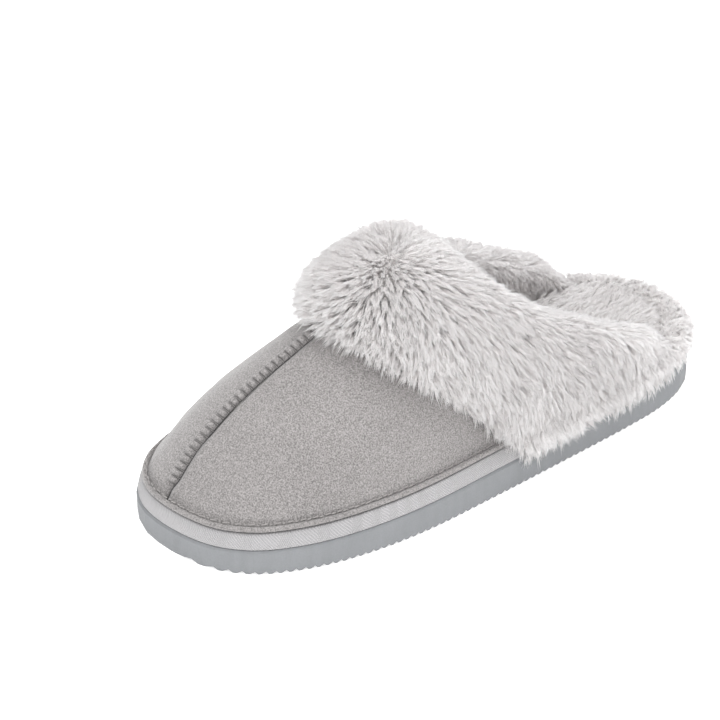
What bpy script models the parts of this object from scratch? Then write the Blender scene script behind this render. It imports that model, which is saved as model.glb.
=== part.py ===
"""Left fluffy house slipper, modelled piece by piece.

Frame: metres, +Z up, toe towards -Y, heel towards +Y, the outer (lateral) side of the foot towards +X.
The origin is at the middle of the sole's box, on the floor.

The sole is a closed outline that each layer insets. The upper is a dome over that outline: at each station
along Y its section is a superellipse from the base line up to the ridge, where the centre seam runs.
Every fabric layer is the same dome, set in by its own depth.
"""

import functools
import math

import bmesh
import bpy
import numpy as np

# ---- driving dimensions (metres) ----
SOLE_OUTLINE = [  # from the toe tip, down the lateral side to the heel, and back up the medial side
    (-0.0085, -0.1310), (0.0030, -0.1300), (0.0130, -0.1278), (0.0220, -0.1242), (0.0298, -0.1182),
    (0.0372, -0.1096), (0.0454, -0.0910), (0.0500, -0.0690), (0.0516, -0.0400), (0.0490, -0.0020),
    (0.0452, 0.0400), (0.0420, 0.0720), (0.0386, 0.0940), (0.0319, 0.1118), (0.0218, 0.1227),
    (0.0110, 0.1288), (-0.0020, 0.1310), (-0.0140, 0.1294), (-0.0260, 0.1232), (-0.0360, 0.1136),
    (-0.0418, 0.1020), (-0.0440, 0.0840), (-0.0423, 0.0500), (-0.0415, 0.0180), (-0.0455, -0.0220),
    (-0.0512, -0.0570), (-0.0508, -0.0870), (-0.0435, -0.1100), (-0.0360, -0.1202), (-0.0280, -0.1264),
    (-0.0190, -0.1301),
]
SOLE_LENGTH = 0.262
TOE_THICKNESS = 0.0108  # outsole at the toe tip
HEEL_THICKNESS = 0.0156  # outsole at the heel
TREAD_PITCH = 0.0036
TREAD_DEPTH = 0.0016
TREAD_FLAT = 0.0010  # width of each ridge where it meets the floor

GAP = 0.0003  # clearance between touching pieces

BAND_HEIGHT = 0.0066
BAND_FOOT = 0.0006  # the band's lower edge stands this far in from the outsole's edge
BAND_LEAN = 0.0026  # how far the band leans in over its height
BAND_THICKNESS = 0.0012
PLATFORM_THICKNESS = 0.0030
BOARD_THICKNESS = 0.0010
FOAM_THICKNESS = 0.0036
FOOTBED_THICKNESS = 0.0028
FOOTBED_MARGIN = 0.0025  # room between the footbed layers and the upper's lining
TOE_EASE = 0.009  # the footbed layers stop short of the sloping toe box
TOE_EASE_Y = -0.080

UPPER_INSET = 0.0050  # outline inset of the suede's outer face at its base
UPPER_LIFT = 0.0049  # base of the upper above the outsole's top, inside the band
SUEDE_THICKNESS = 0.0012
INTERLINING_THICKNESS = 0.0020
LINING_THICKNESS = 0.0028
WALL = SUEDE_THICKNESS + INTERLINING_THICKNESS + LINING_THICKNESS + 2 * GAP
RIDGE_LIMIT = 0.083  # height that the ridge levels out towards, over the base
RIDGE_REACH = 0.062  # and how gradually, in distance behind the toe
RIDGE_POWER = 0.9
RIDGE_REAR_X = -0.0014
RIDGE_TURN = 0.070  # the ridge leaves the toe tip's x over this distance
SECTION_POWER = 1.8  # superellipse exponent of the upper's cross-section

THROAT_Y = -0.014  # where the wall's top edge crosses the ridge
TOPLINE = [  # height of the wall's top edge behind the throat; the pile stands above it
    (-0.006, 0.0800), (0.002, 0.0755), (0.012, 0.0705), (0.024, 0.0645), (0.036, 0.0585),
    (0.054, 0.0495), (0.069, 0.0420), (0.084, 0.0360), (0.100, 0.0310),
]
LATERAL_DROP = 0.0035  # the lateral topline is this much lower, midway along
VAMP_TOP_Y = -0.026  # the vamp layers end here on the ridge, under the fur
VAMP_REAR_Y = 0.020  # and here at the base
VAMP_JOIN = 0.0010  # seam room between the vamp layers and the collar padding

CUFF_FRONT_Y = -0.054  # lower edge of the fur on the ridge
CUFF_BASE_Y = 0.009  # where the fur's lower edge reaches the sole band
CUFF_BASE_LIFT = 0.0015  # height of that end above the band
CUFF_JOIN_Y = 0.028  # where the cuff's ends meet the side collars at the top
COLLAR_REAR_Y = 0.099  # rear end of the side collars
COLLAR_JOIN = 0.0015
FACING_SHARE = 0.85  # share of the cuff's padding that its turned-in fur covers
PILE_FRONT = 0.0210  # fur depth over the instep
PILE_SIDE = 0.0130  # fur depth along the sides
PILE_REAR = 0.0060  # fur depth at the rear ends of the side collars
FUR_CLEARANCE = 0.0006  # from the wall to the fur's backing
SKIRT_BOTTOM = 0.0016  # lowest edge of the side fur above the outsole's top
CUFF_DEPTHS = [0.20, 0.62, 0.86, 0.96, 1.0, 1.0, 1.0]  # share of the pile from the lower edge up to the top
SIDE_DEPTHS = [0.15, 0.38, 0.60, 0.80, 0.95, 1.0, 1.0]
CROWN_DEPTHS = [1.0, 0.86, 0.55]
INNER_DEPTHS = [0.42, 0.36, 0.30, 0.22]

PIPING_RADIUS = 0.0011
PIPING_INSET = 0.0034
EDGE_THREAD_LIFT = 0.0036  # row of stitches above the band
THREAD_RADIUS = 0.00035
WELT_WIDTH = 0.0046
WELT_HEIGHT = 0.0013
WELT_OFFSET = 0.0028  # the raised seam edge lies on the medial side of the ridge
WELT_START = 0.0075  # distance from the toe tip along the ridge
WELT_REAR_Y = -0.054
STITCH_PITCH = 0.0036
STITCH_THICKNESS = 0.0007

# Heel cross-sections: inset from the sole's outline, height above the outsole's top
HEEL_CORE = [(0.0052, 0.0049), (0.0118, 0.0049), (0.0118, 0.0086), (0.0085, 0.0096), (0.0056, 0.0088)]
HEEL_FUR = [
    (-0.0008, 0.0016), (-0.0010, 0.0050), (0.0002, 0.0088), (0.0028, 0.0112),
    (0.0065, 0.0124), (0.0100, 0.0124), (0.0130, 0.0113), (0.0138, 0.0092),
    (0.0136, 0.0055), (0.0123, 0.0055), (0.0122, 0.0090), (0.0088, 0.0101),
    (0.0052, 0.0093), (0.0044, 0.0073), (0.0018, 0.0071), (0.0002, 0.0018),
]

OUTLINE_SAMPLES = 80
FINE_SAMPLES = 880
TOE_STATIONS = 16
CUFF_STATIONS = 9
SIDE_STATIONS = 8

LATERAL, MEDIAL = 1, -1

# ---- colours: base colour, roughness ----
GREY_EVA = ((0.42, 0.45, 0.46), 0.75)
BAND_FABRIC = ((0.62, 0.61, 0.61), 0.90)
SUEDE = ((0.47, 0.45, 0.44), 0.95)
FUR = ((0.80, 0.78, 0.77), 1.00)
WHITE_FOAM = ((0.85, 0.85, 0.82), 0.90)
BOARD = ((0.55, 0.47, 0.36), 0.85)
THREAD = ((0.52, 0.50, 0.48), 0.80)


# ---- scene and mesh helpers ----
def clear_scene():
    for obj in list(bpy.data.objects):
        bpy.data.objects.remove(obj)


def material(name, look):
    (r, g, b), roughness = look
    mat = bpy.data.materials.new(name)
    mat.use_nodes = True
    shader = mat.node_tree.nodes["Principled BSDF"]
    shader.inputs["Base Color"].default_value = (r, g, b, 1.0)
    shader.inputs["Roughness"].default_value = roughness
    shader.inputs["Metallic"].default_value = 0.0
    return mat


def add_object(name, bm, look):
    """Turns a bmesh into a named object with its own material, its faces pointing out."""
    bmesh.ops.remove_doubles(bm, verts=bm.verts, dist=1e-5)
    bmesh.ops.dissolve_degenerate(bm, edges=bm.edges, dist=1e-6)
    bmesh.ops.recalc_face_normals(bm, faces=bm.faces)
    mesh = bpy.data.meshes.new(name)
    bm.to_mesh(mesh)
    bm.free()
    mesh.shade_smooth()
    mesh.set_sharp_from_angle(angle=math.radians(40))
    mesh.materials.append(material(name, look))
    obj = bpy.data.objects.new(name, mesh)
    bpy.context.scene.collection.objects.link(obj)
    return obj


def shell_between(outer, inner, bm=None):
    """Closed solid between two grids of points of the same shape, joined round their borders."""
    bm = bm or bmesh.new()
    rows, columns = len(outer), len(outer[0])
    a = [[bm.verts.new(p) for p in row] for row in outer]
    b = [[bm.verts.new(p) for p in row] for row in inner]
    for i in range(rows - 1):
        for j in range(columns - 1):
            bm.faces.new((a[i][j], a[i + 1][j], a[i + 1][j + 1], a[i][j + 1]))
            bm.faces.new((b[i][j], b[i][j + 1], b[i + 1][j + 1], b[i + 1][j]))
    for i in range(rows - 1):
        for j in (0, columns - 1):
            bm.faces.new((a[i][j], b[i][j], b[i + 1][j], a[i + 1][j]))
    for j in range(columns - 1):
        for i in (0, rows - 1):
            bm.faces.new((a[i][j], a[i][j + 1], b[i][j + 1], b[i][j]))
    return bm


def sweep(sections, closed_path=False):
    """Solid through equal closed sections, capped at its ends unless the path closes on itself."""
    bm = bmesh.new()
    rings = [[bm.verts.new(p) for p in section] for section in sections]
    count = len(rings[0])
    last = len(rings) if closed_path else len(rings) - 1
    for i in range(last):
        this, following = rings[i], rings[(i + 1) % len(rings)]
        for k in range(count):
            n = (k + 1) % count
            bm.faces.new((this[k], this[n], following[n], following[k]))
    if not closed_path:
        bm.faces.new(rings[0])
        bm.faces.new(rings[-1])
    return bm


# ---- the sole outline ----
def catmull_rom(points, samples):
    """Closed smooth curve through the points."""
    points = np.array(points, float)
    count = len(points)
    curve = []
    for s in np.linspace(0, count, samples, endpoint=False):
        i, t = int(s), s - int(s)
        p0, p1, p2, p3 = (points[(i + k) % count] for k in (-1, 0, 1, 2))
        curve.append(0.5 * (2 * p1 + (p2 - p0) * t + (2 * p0 - 5 * p1 + 4 * p2 - p3) * t**2
                            + (3 * p1 - p0 - 3 * p2 + p3) * t**3))
    return np.array(curve)


def outline(inset, samples=OUTLINE_SAMPLES):
    """The sole outline, centred on its own box and set in along its normals."""
    fine = catmull_rom(SOLE_OUTLINE, FINE_SAMPLES)
    fine -= (fine.min(0) + fine.max(0)) / 2
    tangent = np.roll(fine, -1, 0) - np.roll(fine, 1, 0)
    inward = np.stack([-tangent[:, 1], tangent[:, 0]], 1)
    inward /= np.linalg.norm(inward, axis=1)[:, None]
    fine = fine + inset * inward
    along = np.concatenate([[0], np.cumsum(np.linalg.norm(np.diff(fine, axis=0), axis=1))])
    at = np.linspace(0, along[-1], samples, endpoint=False)
    return np.stack([np.interp(at, along, fine[:, k]) for k in (0, 1)], 1)


@functools.lru_cache(maxsize=None)
def edges_at(inset):
    """The inset outline's toe tip, and its lateral and medial sides as points in order of y."""
    line = outline(inset, FINE_SAMPLES)
    tip, heel = line[:, 1].argmin(), line[:, 1].argmax()
    ring = np.roll(line, -tip, 0)
    split = (heel - tip) % len(line)
    sides = {LATERAL: ring[: split + 1], MEDIAL: np.vstack([ring[split:], ring[:1]])[::-1]}
    return ring[0], sides


def edge_x(inset, y, side):
    line = edges_at(inset)[1][side]
    return float(np.interp(y, line[:, 1], line[:, 0]))


def sole_top(y):
    """The outsole's top is a plane that rises evenly from toe to heel."""
    share = y / SOLE_LENGTH + 0.5
    return TOE_THICKNESS + (HEEL_THICKNESS - TOE_THICKNESS) * share


def layer_loop(inset, lift, samples=OUTLINE_SAMPLES):
    return [(x, y, sole_top(y) + lift) for x, y in outline(inset, samples)]


def slab(name, inset, low, high, look, rounding=0.0, toe_ease=0.0):
    """A flat layer of the sole between two heights above the outsole's top."""
    loops = [layer_loop(inset, low), layer_loop(inset, high - rounding)]
    if rounding:
        loops.append(layer_loop(inset + rounding, high))
    for loop in loops:
        for k, (x, y, z) in enumerate(loop):
            ahead = max(TOE_EASE_Y - y, 0.0) / (TOE_EASE_Y + SOLE_LENGTH / 2)
            loop[k] = (x, y + toe_ease * ahead, z)
    return add_object(name, sweep(loops), look)


# ---- the upper's dome ----
def ridge(y, depth):
    """Ridge point over station y for a layer set in by depth: its x and its height over the base."""
    tip = edges_at(UPPER_INSET + depth)[0]
    behind = max(y - tip[1], 0.0)
    rise = RIDGE_LIMIT * (1 - math.exp(-((behind / RIDGE_REACH) ** RIDGE_POWER)))
    turn = min(behind / RIDGE_TURN, 1.0)
    turn = turn * turn * (3 - 2 * turn)
    return tip[0] + (RIDGE_REAR_X - tip[0]) * turn, rise


def dome(y, angle, side, depth=0.0):
    """Point of the upper at station y; angle 0 is the base line and pi/2 the ridge. Depth is inward."""
    ridge_x, rise = ridge(y, depth)
    reach = edge_x(UPPER_INSET + depth, y, side) - ridge_x
    across = math.cos(angle) ** (2 / SECTION_POWER) if angle < math.pi / 2 else 0.0
    up = math.sin(angle) ** (2 / SECTION_POWER)
    base = sole_top(y) + UPPER_LIFT
    return np.array([ridge_x + reach * across, y, base + rise * up])


def dome_normal(y, angle, side):
    """Outward unit normal of the dome, by small steps."""
    step = 1e-4
    angle = min(max(angle, 0.02), math.pi / 2 - 0.06)
    along = dome(y + step, angle, side) - dome(y - step, angle, side)
    round_ = dome(y, angle + step, side) - dome(y, angle - step, side)
    normal = np.cross(round_, along) * side
    normal /= np.linalg.norm(normal)
    return normal if normal[0] * side > 0 or normal[2] > 0 else -normal


def toe_tip_y(depth):
    return float(edges_at(UPPER_INSET + depth)[0][1])


def vamp_rear(angle):
    """The vamp layers' rear edge runs from the base, forward and up to the ridge."""
    share = angle / (math.pi / 2)
    return VAMP_REAR_Y + (VAMP_TOP_Y - VAMP_REAR_Y) * share


def angle_of_share(share):
    """The dome angle at which a section reaches this share of its ridge height."""
    return math.asin(min(max(share, 0.0), 1.0) ** (SECTION_POWER / 2))


def topline_angle(y, side):
    """Dome angle of the wall's top edge at station y."""
    throat_z = sole_top(THROAT_Y) + UPPER_LIFT + ridge(THROAT_Y, 0.0)[1]
    stations, heights = np.array([(THROAT_Y, throat_z)] + TOPLINE).T
    height = float(np.interp(y, stations, heights))
    if side == LATERAL:
        along = (y - stations[0]) / (stations[-1] - stations[0])
        height -= LATERAL_DROP * math.sin(math.pi * min(max(along, 0.0), 1.0))
    return angle_of_share((height - sole_top(y) - UPPER_LIFT) / ridge(y, 0.0)[1])


# ---- sole pieces ----
def make_outsole():
    chamfer = 0.0008
    loops = [
        [(x, y, 0.0) for x, y in outline(0.0010)],
        [(x, y, 0.0022) for x, y in outline(0.0002)],
        layer_loop(0.0, -chamfer),
        layer_loop(chamfer, 0.0),
    ]
    sole = add_object("outsole", sweep(loops), GREY_EVA)
    cutter = make_tread_cutter()
    cut = sole.modifiers.new("tread", "BOOLEAN")
    cut.operation = "DIFFERENCE"
    cut.object = cutter
    return sole


def make_tread_cutter():
    """One prism for each groove between two tread ridges, wider than the sole."""
    bm = bmesh.new()
    half_width = SOLE_LENGTH / 4
    below = 0.001
    mouth = (TREAD_PITCH - TREAD_FLAT) / 2
    flare = mouth * (1 + below / TREAD_DEPTH)
    count = int((SOLE_LENGTH - 0.001) / TREAD_PITCH)
    for k in range(count):
        y = (k - (count - 1) / 2) * TREAD_PITCH
        profile = [(y - flare, -below), (y + flare, -below), (y, TREAD_DEPTH)]
        near = [bm.verts.new((-half_width, py, pz)) for py, pz in profile]
        far = [bm.verts.new((half_width, py, pz)) for py, pz in profile]
        bm.faces.new(near)
        bm.faces.new(far[::-1])
        for i in range(3):
            n = (i + 1) % 3
            bm.faces.new((near[i], far[i], far[n], near[n]))
    cutter = add_object("tread_cutter", bm, GREY_EVA)
    cutter.hide_render = True
    cutter.display_type = "WIRE"
    return cutter


def make_band():
    """Fabric band round the platform; it leans in towards its top."""
    corners = [(BAND_FOOT, GAP), (BAND_LEAN, BAND_HEIGHT), (BAND_LEAN + BAND_THICKNESS, BAND_HEIGHT),
               (BAND_FOOT + BAND_THICKNESS, GAP)]
    loops = [layer_loop(inset, lift) for inset, lift in corners]
    sections = [[loop[i] for loop in loops] for i in range(OUTLINE_SAMPLES)]
    return add_object("sole_wrap_band", sweep(sections, closed_path=True), BAND_FABRIC)


def make_sole_layers():
    """Platform and board inside the band; foam and footbed inside the upper."""
    inside_band = BAND_LEAN + BAND_THICKNESS + GAP
    low = GAP
    slab("midsole_platform", inside_band, low, low + PLATFORM_THICKNESS, WHITE_FOAM)
    low += PLATFORM_THICKNESS + GAP
    slab("insole_board", inside_band, low, low + BOARD_THICKNESS, BOARD)
    inside_upper = UPPER_INSET + WALL + FOOTBED_MARGIN
    low = UPPER_LIFT
    slab("memory_foam_pad", inside_upper, low, low + FOAM_THICKNESS, WHITE_FOAM, toe_ease=TOE_EASE)
    low += FOAM_THICKNESS + GAP
    slab("plush_footbed", inside_upper, low, low + FOOTBED_THICKNESS, FUR, 0.0008, TOE_EASE)


# ---- vamp pieces ----
def vamp_grid(side, depth, columns=9):
    """Grid of dome points from the toe tip back to the suede's rear edge."""
    tip = toe_tip_y(depth)
    grid = []
    for i in range(TOE_STATIONS + 1):
        share = (i / TOE_STATIONS) ** 2
        row = []
        for j in range(columns):
            angle = math.pi / 2 * j / (columns - 1)
            row.append(dome(tip + (vamp_rear(angle) - tip) * share, angle, side, depth))
        grid.append(row)
    return grid


def clear_of_seam(grid, side):
    """Sets a panel's ridge edge back from the centre line, so that the two panels only meet."""
    for row in grid:
        for point in row:
            ridge_x = ridge(point[1], 0.0)[0]
            point[0] = side * max(side * (point[0] - ridge_x), GAP / 2) + ridge_x
    return grid


def make_vamp_layer(name, side, depth, thickness, look):
    outer = clear_of_seam(vamp_grid(side, depth), side)
    inner = clear_of_seam(vamp_grid(side, depth + thickness), side)
    return add_object(name, shell_between(outer, inner), look)


def make_lining(depth, thickness):
    """The toe box lining is one piece that runs over the ridge from side to side."""

    def across(at_depth):
        lateral = vamp_grid(LATERAL, at_depth)
        medial = vamp_grid(MEDIAL, at_depth)
        return [a + b[::-1][1:] for a, b in zip(lateral, medial)]

    return add_object("vamp_lining", shell_between(across(depth), across(depth + thickness)), FUR)


# ---- collar pieces ----
def mix(a, b, share):
    return a + (b - a) * share


class Station:
    """One crosswise cut through the collar, from the fur's lower edge up the wall to the wall's top edge.

    Places on the wall are (y, angle) pairs of the dome. A share runs from 0 at the low end to 1 at the top.
    """

    def __init__(self, side, low, top, pile, on_band):
        self.side, self.pile, self.on_band = side, pile, on_band
        self.low, self.top = np.array(low), np.array(top)
        slope = (VAMP_REAR_Y - VAMP_TOP_Y) / (math.pi / 2)
        run = self.top - self.low
        ahead = VAMP_REAR_Y - slope * self.low[1] - self.low[0]
        self.vamp_share = min(max(ahead / (run[0] + slope * run[1]), 0.0), 1.0)

    def at(self, share, depth=0.0):
        y, angle = mix(self.low, self.top, share)
        return dome(y, angle, self.side, depth)

    def normal(self, share):
        y, angle = mix(self.low, self.top, share)
        normal = dome_normal(y, angle, self.side)
        normal[0] *= min((math.pi / 2 - angle) / 0.06, 1.0)
        normal[1] *= 1 - max((y - 0.060) / (COLLAR_REAR_Y - 0.060), 0.0)
        return normal / np.linalg.norm(normal)

    def share_at_lift(self, lift):
        """The lowest share whose place on the wall is this high above the outsole's top."""
        for share in np.linspace(0.0, 1.0, 81):
            point = self.at(share)
            if point[2] - sole_top(point[1]) >= lift:
                return float(share)
        return 1.0

    def padding_rows(self, count=5):
        """Outer and inner points of the foam wall, above the vamp's rear edge."""
        length = np.linalg.norm(self.at(1.0) - self.at(0.0))
        start = self.vamp_share + (VAMP_JOIN / length if self.vamp_share > 0 else 0.0)
        shares = [mix(start, 1.0, k / (count - 1)) for k in range(count)]
        return [self.at(w) for w in shares], [self.at(w, WALL) for w in shares]

    def skirt(self):
        """Backing points outside the sole band: its lower edge, and over its top."""
        y = self.low[0]
        return [np.array([edge_x(inset, y, self.side), y, sole_top(y) + lift])
                for inset, lift in ((0.0002, SKIRT_BOTTOM), (BAND_LEAN - 0.0007, BAND_HEIGHT + 2 * GAP))]

    def crown(self):
        """Backing points over the wall's top edge, and the directions that the fur stands out in."""
        normal = self.normal(1.0)
        tangent = self.at(1.0) - self.at(0.9)
        tangent -= normal * tangent.dot(normal)
        tangent /= np.linalg.norm(tangent)
        outer, inner = self.at(1.0), self.at(1.0, WALL)
        points = [outer + normal * FUR_CLEARANCE, (outer + inner) / 2, inner - normal * FUR_CLEARANCE]
        directions = [(normal + tangent) / math.sqrt(2), tangent, (tangent - normal) / math.sqrt(2)]
        return [p + tangent * FUR_CLEARANCE for p in points], directions

    def fur_rows(self):
        """The fur's backing round the wall, and its outer face, a pile's depth away."""
        if self.on_band:
            backing, directions = self.skirt(), [self.normal(0.0)] * 2
            first = self.share_at_lift(BAND_HEIGHT + 0.0012)
            last = self.share_at_lift(UPPER_LIFT + FOAM_THICKNESS + FOOTBED_THICKNESS + 0.0012)
            last = max(last, self.vamp_share + 0.05)
            shares, depths = np.linspace(first, 1.0, 5), SIDE_DEPTHS
        else:
            backing, directions = [], []
            last = mix(1.0, self.vamp_share, FACING_SHARE)
            shares, depths = np.linspace(0.0, 1.0, 7), CUFF_DEPTHS
        for w in shares:
            backing.append(self.at(w) + self.normal(w) * FUR_CLEARANCE)
            directions.append(self.normal(w))
        points, away = self.crown()
        backing += points
        directions += away
        for w in np.linspace(1.0, last, 4):
            backing.append(self.at(w, WALL) - self.normal(w) * FUR_CLEARANCE)
            directions.append(-self.normal(w))
        depths = depths + CROWN_DEPTHS + INNER_DEPTHS
        face = [p + d * self.pile * t for p, d, t in zip(backing, directions, depths)]
        return face, backing


def cuff_stations(side):
    """From the ridge down to the sole band, fanning round the throat."""
    stations = []
    base_share = (BAND_HEIGHT + CUFF_BASE_LIFT - UPPER_LIFT) / ridge(CUFF_BASE_Y, 0.0)[1]
    for k in range(CUFF_STATIONS + 1):
        share = k / CUFF_STATIONS
        height_share = mix(base_share, 1.0, math.cos(math.pi / 2 * share) ** (2 / SECTION_POWER))
        low = (mix(CUFF_BASE_Y, CUFF_FRONT_Y, height_share), angle_of_share(height_share))
        top_y = mix(THROAT_Y, CUFF_JOIN_Y, share ** SECTION_POWER)
        pile = mix(PILE_FRONT, PILE_SIDE, share * share * (3 - 2 * share))
        stations.append(Station(side, low, (top_y, topline_angle(top_y, side)), pile, False))
    return stations


def side_stations(side):
    """From the cuff's end back along the side to the heel."""
    stations = []
    for k in range(SIDE_STATIONS + 1):
        share = k / SIDE_STATIONS
        low_y = mix(CUFF_BASE_Y + COLLAR_JOIN, COLLAR_REAR_Y, share)
        top_y = mix(CUFF_JOIN_Y + COLLAR_JOIN, COLLAR_REAR_Y, share)
        pile = mix(PILE_SIDE, PILE_REAR, share * share)
        stations.append(Station(side, (low_y, 0.0), (top_y, topline_angle(top_y, side)), pile, True))
    return stations


def make_padding(side, word):
    """Foam wall of one side, above and behind the vamp, up to the wall's top edge."""
    rows = [s.padding_rows() for s in cuff_stations(side) + side_stations(side)]
    outer, inner = (list(grid) for grid in zip(*rows))
    for point in outer[0] + inner[0]:
        point[0] += side * GAP / 2
    add_object(f"collar_padding_{word}", shell_between(outer, inner), WHITE_FOAM)


def make_fur(name, stations):
    face, backing = zip(*[s.fur_rows() for s in stations])
    add_object(name, shell_between(face, backing), FUR)


# ---- heel pieces ----
def heel_arc(inset, start_y, count=25):
    """The part of the inset outline behind start_y, from the lateral side round to the medial side."""
    sides = edges_at(inset)[1]
    lateral = [p for p in sides[LATERAL] if p[1] > start_y]
    medial = [p for p in sides[MEDIAL] if p[1] > start_y]
    arc = [(edge_x(inset, start_y, LATERAL), start_y), *lateral, *medial[::-1],
           (edge_x(inset, start_y, MEDIAL), start_y)]
    arc = np.array(arc)
    along = np.concatenate([[0], np.cumsum(np.linalg.norm(np.diff(arc, axis=0), axis=1))])
    at = np.linspace(0, along[-1], count)
    return np.stack([np.interp(at, along, arc[:, k]) for k in (0, 1)], 1)


def make_heel():
    """Low fur strip round the open heel, over a foam core; it hangs over the band outside."""
    start_y = COLLAR_REAR_Y + COLLAR_JOIN
    make_arc_sweep("heel_padding", HEEL_CORE, start_y, WHITE_FOAM)
    make_arc_sweep("heel_fur", HEEL_FUR, start_y, FUR)


def make_arc_sweep(name, profile, start_y, look):
    """Sweeps a closed profile of (inset, height above the outsole's top) round the heel."""
    arcs = [heel_arc(inset, start_y) for inset, _ in profile]
    sections = []
    for places in zip(*arcs):
        sections.append([(x, y, sole_top(y) + lift) for (x, y), (_, lift) in zip(places, profile)])
    return add_object(name, sweep(sections), look)


# ---- trim ----
def tube_sections(points, radius, sides):
    """Rings of a tube along the points, each ring square to the path."""
    points = np.array(points, float)
    tangents = np.gradient(points, axis=0)
    rings = []
    for point, tangent in zip(points, tangents):
        tangent /= np.linalg.norm(tangent)
        flat = np.cross(tangent, [0, 0, 1.0])
        flat /= np.linalg.norm(flat)
        up = np.cross(flat, tangent)
        rings.append([point + radius * (math.cos(a) * flat + math.sin(a) * up)
                      for a in np.linspace(0, 2 * math.pi, sides, endpoint=False)])
    return rings


def vamp_base_line(inset, lift, rear_y):
    """Line round the base of the vamp, from the lateral rear, round the toe, to the medial rear."""
    line = outline(inset, 120)
    front = [p for p in line if p[1] < rear_y]
    front.sort(key=lambda p: math.atan2(p[0], -(p[1] - rear_y) + 0.010), reverse=True)
    return [(x, y, sole_top(y) + lift) for x, y in front]


def make_piping():
    """Rolled suede edge on top of the band, and the row of stitching just above it."""
    line = vamp_base_line(PIPING_INSET, BAND_HEIGHT + 2 * GAP + PIPING_RADIUS, CUFF_BASE_Y - 0.004)
    add_object("vamp_edge_piping", sweep(tube_sections(line, PIPING_RADIUS, 6)), SUEDE)
    inset = UPPER_INSET - THREAD_RADIUS - 2 * GAP
    line = vamp_base_line(inset, BAND_HEIGHT + EDGE_THREAD_LIFT, CUFF_BASE_Y - 0.008)
    add_object("vamp_edge_thread", sweep(tube_sections(line, THREAD_RADIUS, 4)), THREAD)


def seam_frames(count, start, end):
    """Points along the centre seam with their forward and up directions, evenly spaced in length."""
    tip = toe_tip_y(0.0)
    ys = tip + (np.linspace(0, 1, 600) ** 2) * (WELT_REAR_Y - tip)
    line = np.array([dome(y, math.pi / 2, LATERAL) for y in ys])
    along = np.concatenate([[0], np.cumsum(np.linalg.norm(np.diff(line, axis=0), axis=1))])
    frames = []
    for at in np.linspace(start, along[-1] - end, count):
        point = np.array([np.interp(at, along, line[:, k]) for k in range(3)])
        ahead = np.array([np.interp(at + 0.0005, along, line[:, k]) for k in range(3)])
        behind = np.array([np.interp(at - 0.0005, along, line[:, k]) for k in range(3)])
        forward = (ahead - behind) / np.linalg.norm(ahead - behind)
        up = np.cross([1.0, 0, 0], forward)
        up *= 1 if up[2] > 0 else -1
        frames.append((point, forward, up, along[-1]))
    return frames


def welt_point(frame, across, height):
    """A point beside the seam: across is measured over the suede towards the medial side."""
    point, _, up, _ = frame
    y = point[1]
    ridge_x = ridge(y, 0.0)[0]
    reach = abs(edge_x(UPPER_INSET, y, MEDIAL) - ridge_x)
    share = min(across / reach, 0.95) if reach > 0 else 0.95
    drop = ridge(y, 0.0)[1] * (1 - (1 - share**SECTION_POWER) ** (1 / SECTION_POWER))
    return np.array([ridge_x - across, y, point[2] - drop]) + up * height


def make_centre_seam():
    """Raised seam edge beside the ridge, and the thread loops that cross it."""
    half = WELT_WIDTH / 2
    profile = [(-half, 2 * GAP), (-half * 0.7, WELT_HEIGHT), (0.0, WELT_HEIGHT * 1.15),
               (half * 0.7, WELT_HEIGHT), (half, 2 * GAP)]
    frames = seam_frames(40, WELT_START, 0.0)
    sections = [[welt_point(f, WELT_OFFSET + a, h) for a, h in profile] for f in frames]
    add_object("centre_seam_welt", sweep(sections), SUEDE)

    count = int((frames[0][3] - WELT_START) / STITCH_PITCH)
    arch = [(-half, WELT_HEIGHT * 0.95), (-half * 0.5, WELT_HEIGHT * 1.25), (half * 0.5, WELT_HEIGHT * 1.25),
            (half, WELT_HEIGHT * 0.95)]
    path = []
    for k, frame in enumerate(seam_frames(count, WELT_START + 0.0015, 0.0015)):
        bar = arch if k % 2 == 0 else arch[::-1]
        path += [welt_point(frame, WELT_OFFSET + a, h + GAP + STITCH_THICKNESS / 2) for a, h in bar]
    add_object("centre_seam_thread", sweep(tube_sections(path, STITCH_THICKNESS / 2, 4)), THREAD)


def main():
    clear_scene()
    make_outsole()
    make_band()
    make_sole_layers()
    foam_depth = SUEDE_THICKNESS + GAP
    lining_depth = foam_depth + INTERLINING_THICKNESS + GAP
    for side, word in ((LATERAL, "lateral"), (MEDIAL, "medial")):
        make_vamp_layer(f"vamp_panel_{word}", side, 0.0, SUEDE_THICKNESS, SUEDE)
        make_vamp_layer(f"vamp_foam_{word}", side, foam_depth, INTERLINING_THICKNESS, WHITE_FOAM)
        make_padding(side, word)
        make_fur(f"collar_fur_{word}", side_stations(side))
    make_fur("cuff_fur", cuff_stations(LATERAL)[::-1] + cuff_stations(MEDIAL)[1:])
    make_lining(lining_depth, LINING_THICKNESS)
    make_heel()
    make_piping()
    make_centre_seam()


main()
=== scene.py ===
"""Looks of the left fluffy house slipper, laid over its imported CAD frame.

Frame: metres, +Z up, toe towards -Y, heel towards +Y, the outer (lateral) side towards +X. The CAD nodes give
every place; the pieces here give them suede, seams, stitching, twill, moulded foam and a combed fur coat.
"""

import math

import bmesh
import bpy
import numpy as np
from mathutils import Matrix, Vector, kdtree
from mathutils.bvhtree import BVHTree


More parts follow.
